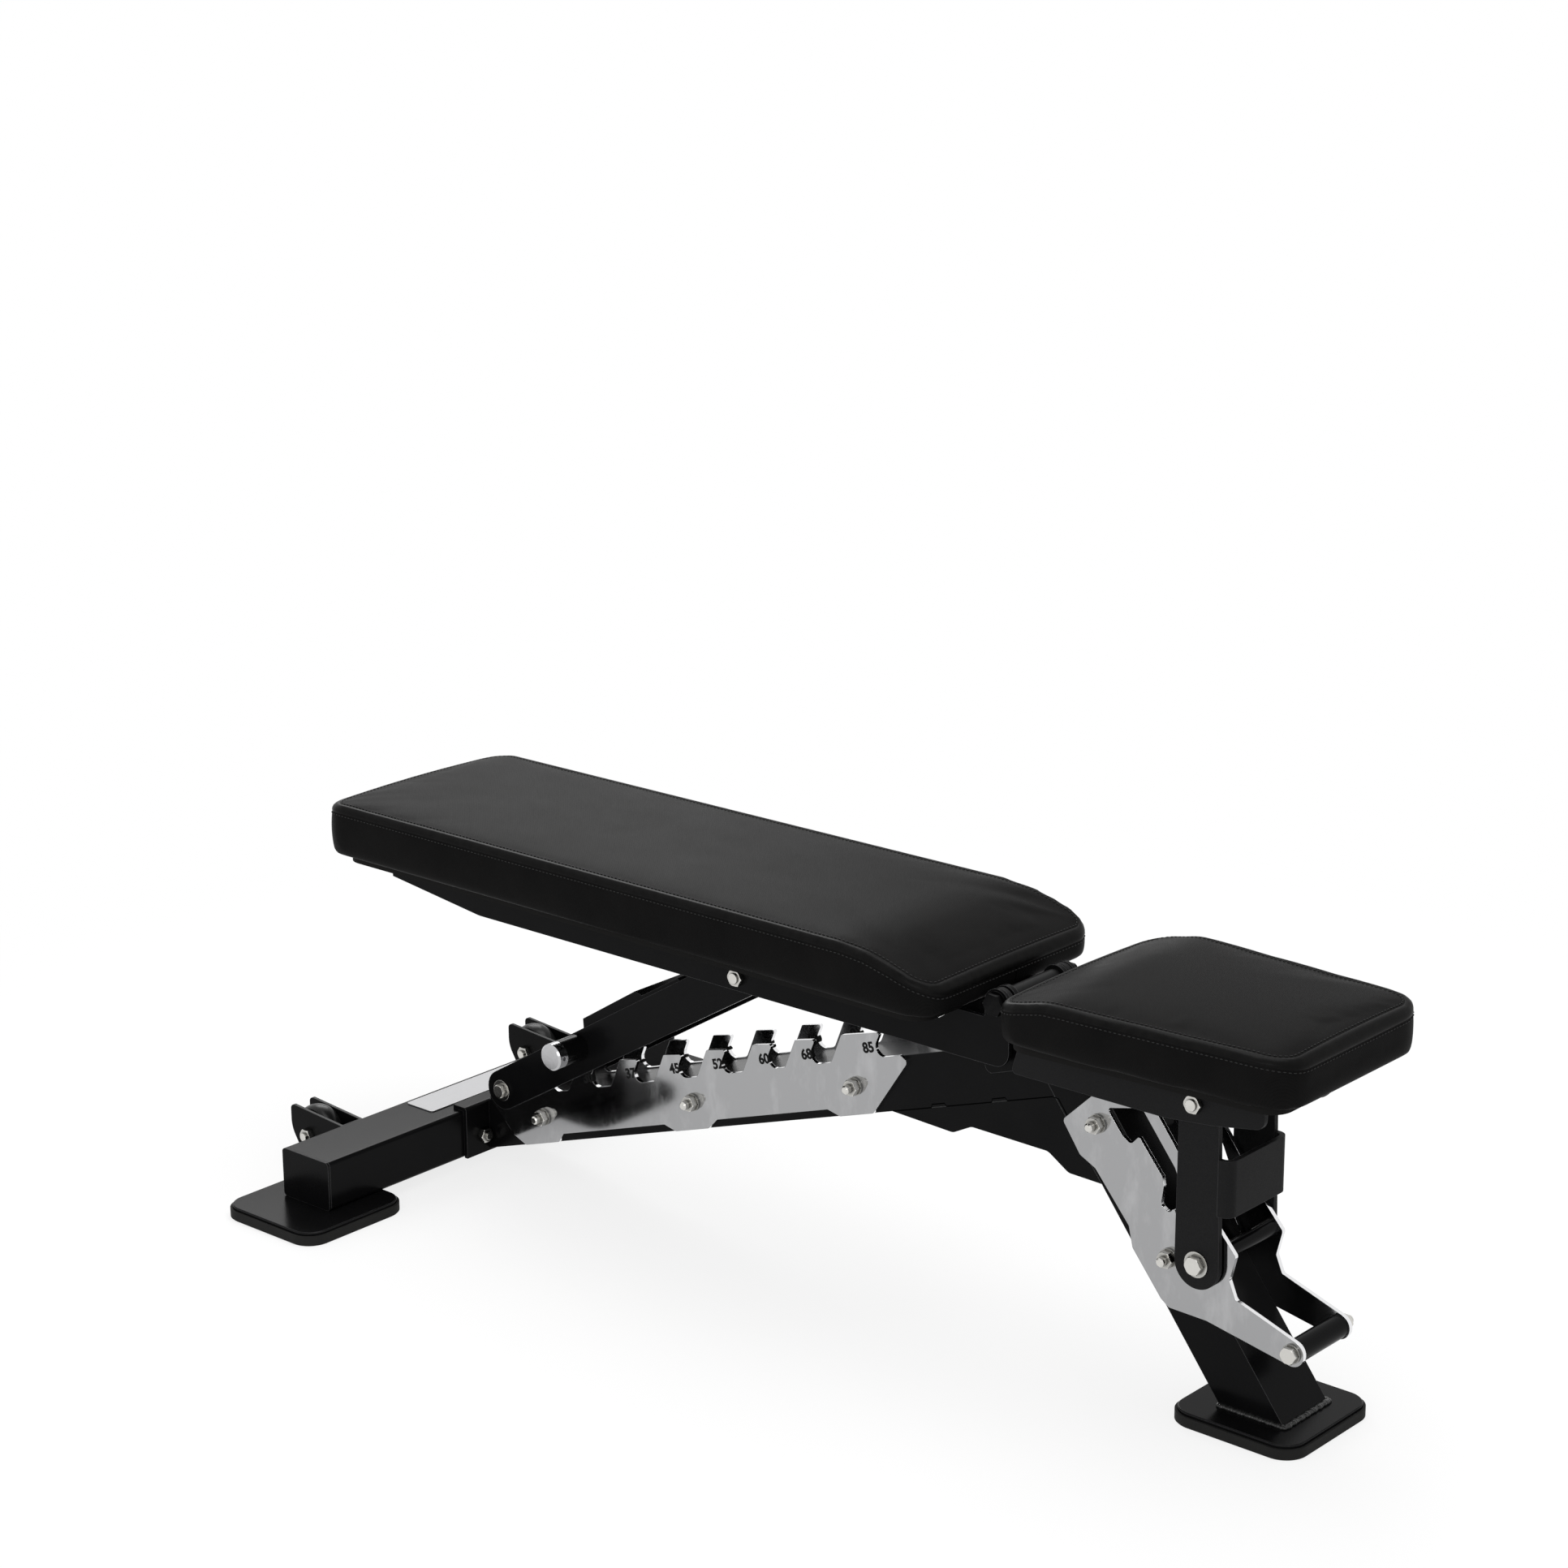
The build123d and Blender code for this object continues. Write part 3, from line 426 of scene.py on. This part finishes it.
# The seat frame and the yoke that props it: folded plate in a fine-textured matte black
# powder paint, unlike the gloss of the floor frame.
textured_paint, shader, shade = new_finish("textured_black_paint", Specular_IOR_Level=0.06)
place = shade.node("TexCoord", out=3)
pebble = noise(shade, place, 1100, 2)
cloud = noise(shade, place, 14, 3)
rounded = shade.node("Bevel", {"samples": 6}, {"Radius": 0.0012})
# The edges are painted paler than the flats: a painted highlight.
edge_highlight = worn_edges(shade, rounded, 0.25)
pale = pebble * 0.18 + edge_highlight * 0.6
feed(shader, "Base Color", blend_colours(shade, pale, (0.004, 0.004, 0.0042), (0.07, 0.07, 0.072)))
feed(shader, "Roughness", 0.42 + cloud * 0.14)
feed(shader, "Normal", bump(shade, pebble, 0.35, 0.0005, rounded))
dress(textured_paint, "seat_frame", "seat_hinge_plates", "yoke_arms", "yoke_band")


# The boards under the pads: plywood panels stained black.
# Screws come up through the frames and hold them from below.
stained_board, shader, shade = new_finish("stained_board", Specular_IOR_Level=0.06)
place = shade.node("TexCoord", out=3)
plies = shade.node("Mapping", inputs={"Vector": place, "Scale": (7, 60, 700)})
streaks = noise(shade, plies, 1, 4)
feed(shader, "Base Color", blend_colours(shade, streaks, (0.004, 0.004, 0.004), (0.01, 0.0095, 0.009)))
feed(shader, "Roughness", 0.55 + streaks * 0.2)
feed(shader, "Normal", bump(shade, streaks, 0.1, 0.0004))
dress(stained_board, "backrest_board", "seat_board")


# The back pad: firm foam on its board, covered in fine-woven black vinyl.
# The cover is a top panel and a side band, joined by a flat felled seam round the top edge
# with a row of stitches on each side of it.
vinyl, shader, shade = new_finish("woven_vinyl", Specular_IOR_Level=0.012)
place = shade.node("TexCoord", out=3)
apart = shade.node("SeparateXYZ", inputs={"Vector": place})
along = Shade(shade.tree, apart.socket.node.outputs[0])
across = Shade(shade.tree, apart.socket.node.outputs[1])
height = Shade(shade.tree, apart.socket.node.outputs[2])
weave_pitch = 2 * math.pi / 0.0021
warp = shade.maths("SINE", (along + height * 0.4) * weave_pitch, 0)
weft = shade.maths("SINE", (across + height) * weave_pitch, 0)
cells = warp * weft
mottle = noise(shade, place, 16, 4)
pale = mottle + cells * 0.18
feed(shader, "Base Color", blend_colours(shade, pale, (0.0035, 0.0035, 0.0036), (0.009, 0.0087, 0.0085)))
feed(shader, "Roughness", 0.32 + mottle * 0.12 + cells * 0.05)
feed(shader, "Normal", bump(shade, cells, 0.14, 0.0004))

seam_vinyl, shader, shade = new_finish("seam_vinyl", Specular_IOR_Level=0.035)
place = shade.node("TexCoord", out=3)
pulled = noise(shade, place, 120, 3)
feed(shader, "Base Color", blend_colours(shade, pulled, (0.003, 0.003, 0.003), (0.008, 0.0078, 0.0076)))
feed(shader, "Roughness", 0.26 + pulled * 0.16)
feed(shader, "Normal", bump(shade, pulled, 0.2, 0.0006))

thread, shader, shade = new_finish("black_thread", Specular_IOR_Level=0.1)
place = shade.node("TexCoord", out=3)
twist = noise(shade, place, 1800, 2)
feed(shader, "Base Color", blend_colours(shade, twist, (0.008, 0.008, 0.008), (0.03, 0.03, 0.03)))
feed(shader, "Roughness", 0.45 + twist * 0.2)


def settle(piece):
    """Makes the shape that a piece's modifiers give it its own mesh."""
    bpy.context.view_layer.update()
    depsgraph = bpy.context.evaluated_depsgraph_get()
    shaped = bpy.data.meshes.new_from_object(piece.evaluated_get(depsgraph))
    piece.modifiers.clear()
    piece.data = shaped
    return shaped


def foam_pad(name, node, roll):
    """A pad from its CAD solid: remeshed, then swollen by cloth pressure with its base held flat.

    The top is worked smooth between the two x values of roll, where it bends down.
    The swelling is only ever outward, and stays under most_swell.
    """
    most_swell = 0.005
    firmness = 0.015
    roll_half_width = 0.128
    roll_depth = 0.03
    held_height = 0.004
    settling_frames = 20
    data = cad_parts[node].data.copy()
    piece = bpy.data.objects.new(name, data)
    bpy.context.scene.collection.objects.link(piece)
    data.materials.clear()
    data.materials.append(vinyl)
    remesh = piece.modifiers.new("even_mesh", "REMESH")
    remesh.mode = "VOXEL"
    remesh.voxel_size = 0.0055
    soften = piece.modifiers.new("round_edges", "SMOOTH")
    soften.factor = 0.5
    soften.iterations = 4
    rest = settle(piece)
    bent = piece.vertex_groups.new(name="bent")
    top = max(vertex.co.z for vertex in rest.vertices)
    bent.add([vertex.index for vertex in rest.vertices
              if roll[0] < vertex.co.x < roll[1] and abs(vertex.co.y) < roll_half_width
              and vertex.co.z > top - roll_depth], 1.0, "REPLACE")
    flow = piece.modifiers.new("flow", "SMOOTH")
    flow.factor = 0.5
    flow.iterations = 40
    flow.vertex_group = "bent"
    rest = settle(piece)
    start = [vertex.co.copy() for vertex in rest.vertices]
    base = min(point.z for point in start)
    held = piece.vertex_groups.new(name="held")
    low = [index for index, point in enumerate(start) if point.z < base + held_height]
    held.add(low, 1.0, "REPLACE")
    cloth = piece.modifiers.new("blow", "CLOTH")
    cloth.settings.use_pressure = True
    cloth.settings.uniform_pressure_force = 4
    cloth.settings.effector_weights.gravity = 0
    cloth.settings.vertex_group_mass = "held"
    cloth.settings.tension_stiffness = 20
    cloth.settings.compression_stiffness = 20
    cloth.settings.bending_stiffness = 3
    cloth.settings.quality = 4
    for number in range(settling_frames):
        bpy.context.scene.frame_set(number + 1)
    depsgraph = bpy.context.evaluated_depsgraph_get()
    blown = bpy.data.meshes.new_from_object(piece.evaluated_get(depsgraph))
    piece.modifiers.clear()
    normals = [vertex.normal.copy() for vertex in rest.vertices]
    for vertex, pushed, point, normal in zip(rest.vertices, blown.vertices, start, normals):
        outward = max(0, (pushed.co - point).dot(normal))
        vertex.co = point + normal * (most_swell * outward / (outward + firmness))
    bpy.data.meshes.remove(blown)
    bpy.context.scene.frame_set(1)
    finer = piece.modifiers.new("finer", "SUBSURF")
    finer.levels = 1
    finer.render_levels = 1
    for polygon in settle(piece).polygons:
        polygon.use_smooth = True
    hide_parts(node)
    return piece


def skin_of(piece):
    """A tree that finds the nearest point and normal on a piece's surface."""
    return BVHTree.FromPolygons([vertex.co[:] for vertex in piece.data.vertices],
                                [polygon.vertices[:] for polygon in piece.data.polygons])


def rim_of(outline, step):
    """Even points, with outward directions, round a closed plan outline of (x, y, radius) corners."""
    arc_parts = 8
    points = []
    count = len(outline)
    for index in range(count):
        x, y, radius = outline[index]
        here = Vector((x, y))
        before = (Vector(outline[index - 1][:2]) - here).normalized()
        after = (Vector(outline[(index + 1) % count][:2]) - here).normalized()
        half = before.angle(after) / 2
        reach = radius / math.tan(half)
        centre = here + (before + after).normalized() * (radius / math.sin(half))
        start = here + before * reach - centre
        sweep = math.pi - 2 * half
        for part in range(arc_parts + 1):
            turn = Matrix.Rotation(sweep * part / arc_parts, 2)
            points.append(centre + turn @ start)
    even = []
    for first, second in zip(points, points[1:] + points[:1]):
        pieces = max(1, math.ceil((second - first).length / step))
        even += [first.lerp(second, part / pieces) for part in range(pieces)]
    rim = []
    for index, point in enumerate(even):
        run = even[(index + 1) % len(even)] - even[index - 1]
        rim.append((point, Vector((run.y, -run.x)).normalized()))
    return rim


def edge_seam(name, body, skin, rim, edge_height):
    """The flat seam round a pad's top edge: a band laid on the skin, slightly proud of it.

    Each row of its profile is an inset and a drop, in widths of the band, and a height over the skin.
    """
    width = 0.008
    over_top = 0.004
    profile = ((-1.0, 0.0, -0.0004), (-0.85, 0.0, 0.0007), (-0.45, 0.0, 0.001), (-0.1, 0.0, 0.0011),
               (0.0, -0.25, 0.0011), (0.0, -0.6, 0.001), (0.0, -0.9, 0.0007), (0.0, -1.05, -0.0004))
    mesh = bmesh.new()
    rows = []
    for point, outward in rim:
        row = []
        for inset, drop, proud in profile:
            spot = point + outward * inset * width
            lift = over_top if inset else 0
            target = Vector((spot.x, spot.y, edge_height(point.x) + drop * width + lift))
            near, normal, _, _ = skin.find_nearest(target)
            row.append(mesh.verts.new(near + normal * proud))
        rows.append(row)
    for first, second in zip(rows, rows[1:] + rows[:1]):
        for index in range(len(profile) - 1):
            mesh.faces.new((first[index], second[index], second[index + 1], first[index + 1]))
    bmesh.ops.recalc_face_normals(mesh, faces=mesh.faces)
    for face in mesh.faces:
        face.smooth = True
    seam = new_piece(name, mesh, seam_vinyl, body)


def stitch_row(name, body, skin, rim, edge_height, shift):
    """Short thread stitches along one side of the seam, laid on the skin.

    The shift is how far the row lies outward and up from the pad's edge.
    """
    out, rise = shift
    pitch = 0.0055
    stitch = Matrix.Diagonal((pitch * 0.36, 0.0006, 0.0005, 1))
    proud = 0.0004
    mesh = bmesh.new()
    shapes = []
    spots = []
    for point, outward in rim:
        spot = point + outward * out
        target = Vector((spot.x, spot.y, edge_height(point.x) + rise))
        near, normal, _, _ = skin.find_nearest(target)
        spots.append((near, normal))
    travelled = 0
    due = 0
    for (here, normal), (ahead, _) in zip(spots, spots[1:] + spots[:1]):
        run = ahead - here
        while due <= travelled + run.length and run.length > 1e-6:
            centre = here + run * ((due - travelled) / run.length) + normal * proud
            forward = run.normalized()
            up = (normal - forward * normal.dot(forward)).normalized()
            axes = Matrix((forward, up.cross(forward) * -1, up)).transposed().to_4x4()
            shapes.append(Matrix.Translation(centre) @ axes @ stitch)
            due += pitch
        travelled += run.length
    lay_balls(mesh, shapes, 8, 5)
    row = new_piece(name, mesh, thread, body)


back_low, back_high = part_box("back_pad")
back_pad = foam_pad("back_pad_cover", "back_pad", (0.12, 0.252))
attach(back_pad, "backrest")
back_skin = skin_of(back_pad)
back_edge = 0.451


def along_table(table, x):
    """A value read off a table of (x, value) rows, in millimetres, returned in metres."""
    x = x * 1000
    for (x0, v0), (x1, v1) in zip(table, table[1:]):
        if x <= x1:
            break
    share = min(1, max(0, (x - x0) / (x1 - x0)))
    return (v0 + (v1 - v0) * share) / 1000


def back_rim_height(x):
    """Height of the back pad's top edge: eased at the head, level, then rolled down towards the seat."""
    drops = ((-668, 8), (-665, 5), (-658, 2.3), (-646, 0.6), (-633, 0), (140, 0), (175, 3), (205, 10),
             (232, 18), (248, 23.5), (256, 27.5), (262, 32))
    return back_edge - along_table(drops, x)


rim_in = 0.002
rim_step = 0.006
top_row = (-0.0105, 0.003)
side_row = (0.0, -0.0105)
head_x, front_x = back_low[0] + rim_in, back_high[0] - rim_in
back_half = 0.147
back_outline = [(head_x, -back_half, 0.034), (front_x, -back_half, 0.03),
                (front_x, back_half, 0.03), (head_x, back_half, 0.034)]
back_rim = rim_of(back_outline, rim_step)
edge_seam("back_pad_seam", "backrest", back_skin, back_rim, back_rim_height)
stitch_row("back_pad_top_stitches", "backrest", back_skin, back_rim, back_rim_height, top_row)
stitch_row("back_pad_side_stitches", "backrest", back_skin, back_rim, back_rim_height, side_row)


# The closing seam: one upright seam in the middle of the back pad's front.
# The two ends of the vinyl side band meet there, folded in and sewn from inside.
closing_top = 0.42
closing_step = 0.003
closing = []
for step in range(9):
    reached = Vector((back_high[0] + 0.004, 0.001, closing_top - closing_step * step))
    closing.append(back_skin.find_nearest(reached))
closing_mesh = bmesh.new()
# The seam's groove is drawn as a near-black strip laid on the skin: painted shade.
ribbon(closing_mesh, [found[0] for found in closing], [found[1] for found in closing], 0.0014, 0.0002)
closing_seam = new_piece("back_pad_closing_seam", closing_mesh, painted_gap_shade, "backrest")


# The seat pad: foam on its own board in the same vinyl, sewn like the back pad.
# It is narrower at the nose, and rolled down at the rear to clear the back pad.
seat_low, seat_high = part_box("seat_pad")
seat_pad = foam_pad("seat_pad_cover", "seat_pad", (0.346, 0.46))
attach(seat_pad, "seat")
seat_skin = skin_of(seat_pad)
seat_edge = 0.443


def seat_rim_height(x):
    """Height of the seat pad's top edge: rolled down at the rear, then level, eased at the nose."""
    drops = ((337, 18), (343, 14), (351, 11.5), (367, 8), (405, 0), (650, 0), (663, 0.6), (675, 2.3),
             (682, 5), (685, 8))
    return seat_edge - along_table(drops, x)


rear_x, nose_x = seat_low[0] + rim_in, seat_high[0] - rim_in
rear_half, nose_half = 0.146, 0.124
seat_outline = [(rear_x, -rear_half, 0.03), (nose_x, -nose_half, 0.034),
                (nose_x, nose_half, 0.034), (rear_x, rear_half, 0.03)]
seat_rim = rim_of(seat_outline, rim_step)
edge_seam("seat_pad_seam", "seat", seat_skin, seat_rim, seat_rim_height)
stitch_row("seat_pad_top_stitches", "seat", seat_skin, seat_rim, seat_rim_height, top_row)
stitch_row("seat_pad_side_stitches", "seat", seat_skin, seat_rim, seat_rim_height, side_row)


# The studio: a plain pale floor and a white surround, which shiny metal mirrors too.
# The floor keeps a soft shadow of the bench.
def background_rays(shade):
    """1 for rays that show the background: from the camera, off gloss or through glass."""
    camera_ray = shade.node("LightPath")
    rays = camera_ray.socket.node.outputs
    glossy_ray = Shade(shade.tree, rays["Is Glossy Ray"])
    return camera_ray + glossy_ray + Shade(shade.tree, rays["Is Transmission Ray"])


floor_mesh = bmesh.new()
bmesh.ops.create_grid(floor_mesh, x_segments=1, y_segments=1, size=30)
floor_data = bpy.data.meshes.new("studio_floor")
floor_mesh.to_mesh(floor_data)
floor_mesh.free()
floor = bpy.data.objects.new("studio_floor", floor_data)
bpy.context.scene.collection.objects.link(floor)
pale_floor, shader, shade = new_finish("pale_floor", Base_Color=(0.92, 0.92, 0.92, 1), Roughness=0.9,
                                       Specular_IOR_Level=0.0)
seen = background_rays(shade)
place = shade.node("TexCoord", out=3)
away = shade.node("VectorMath", {"operation": "LENGTH"}, {0: place}, out=1)
fade = {1: 0.7, 2: 1.7, 3: 0.8, 4: 1.0}
clear_of_bench = shade.node("MapRange", {"interpolation_type": "SMOOTHSTEP"}, {0: away, **fade})
glow = shade.node("Emission", inputs={"Color": (1, 1, 1, 1), "Strength": 1.0})
surface = Shade(shade.tree, shader.outputs[0])
mixed = shade.node("MixShader", inputs={0: seen * clear_of_bench, 1: surface, 2: glow})
output = pale_floor.node_tree.nodes["Material Output"]
shade.tree.links.new(mixed.socket, output.inputs["Surface"])
floor_data.materials.append(pale_floor)

world = bpy.data.worlds.new("white_surround")
bpy.context.scene.world = world
world.use_nodes = True
sky = Shade(world.node_tree)
background = world.node_tree.nodes["Background"]
background.inputs["Color"].default_value = (1, 1, 1, 1)
ambient = 0.6
strength = ambient + background_rays(sky) * (1 - ambient)
sky.tree.links.new(strength.socket, background.inputs["Strength"])


# The lamps: a large soft box above the bench, a second behind its head end
# and a third in front of its near side.
def soft_box(name, stand, aim, size, power):
    """An area lamp at one point, turned to another."""
    lamp = bpy.data.lights.new(name, "AREA")
    lamp.shape = "RECTANGLE"
    lamp.size, lamp.size_y = size
    lamp.energy = power
    holder = bpy.data.objects.new(name, lamp)
    holder.location = stand
    holder.rotation_euler = (Vector(aim) - Vector(stand)).to_track_quat("-Z", "Y").to_euler()
    bpy.context.scene.collection.objects.link(holder)


soft_box("overhead_box", (0.2, 0.3, 2.6), (0, 0, 0.4), (2.2, 1.6), 45)
soft_box("rear_box", (-2.2, 1.6, 1.9), (0, 0, 0.4), (1.4, 1.4), 25)
soft_box("front_box", (1.2, -3.2, 1.5), (0.1, 0, 0.3), (1.8, 1.4), 28)


# The camera: it stands where the photograph was taken from, some four metres away.
# It looks down a little through a long lens, and leans by less than half a degree.
turn, tip, lean = math.radians(41.327), math.radians(16.279), math.radians(-0.388)
look = Vector((-math.sin(turn) * math.cos(tip), math.cos(turn) * math.cos(tip), -math.sin(tip)))
right = Vector((math.cos(turn), math.sin(turn), 0))
up = right.cross(look)
level_right = right * math.cos(lean) + up * math.sin(lean)
level_up = up * math.cos(lean) - right * math.sin(lean)
lens = bpy.data.cameras.new("photo_camera")
lens.sensor_width = 36
lens.lens = 80.93
lens.clip_end = 100
camera = bpy.data.objects.new("photo_camera", lens)
axes = Matrix((level_right, level_up, -look)).transposed().to_4x4()
camera_stand = (2.3997, -2.7990, 1.6421)
camera.matrix_world = Matrix.Translation(camera_stand) @ axes
bpy.context.scene.collection.objects.link(camera)
bpy.context.scene.camera = camera
bpy.context.scene.view_settings.view_transform = "Standard"
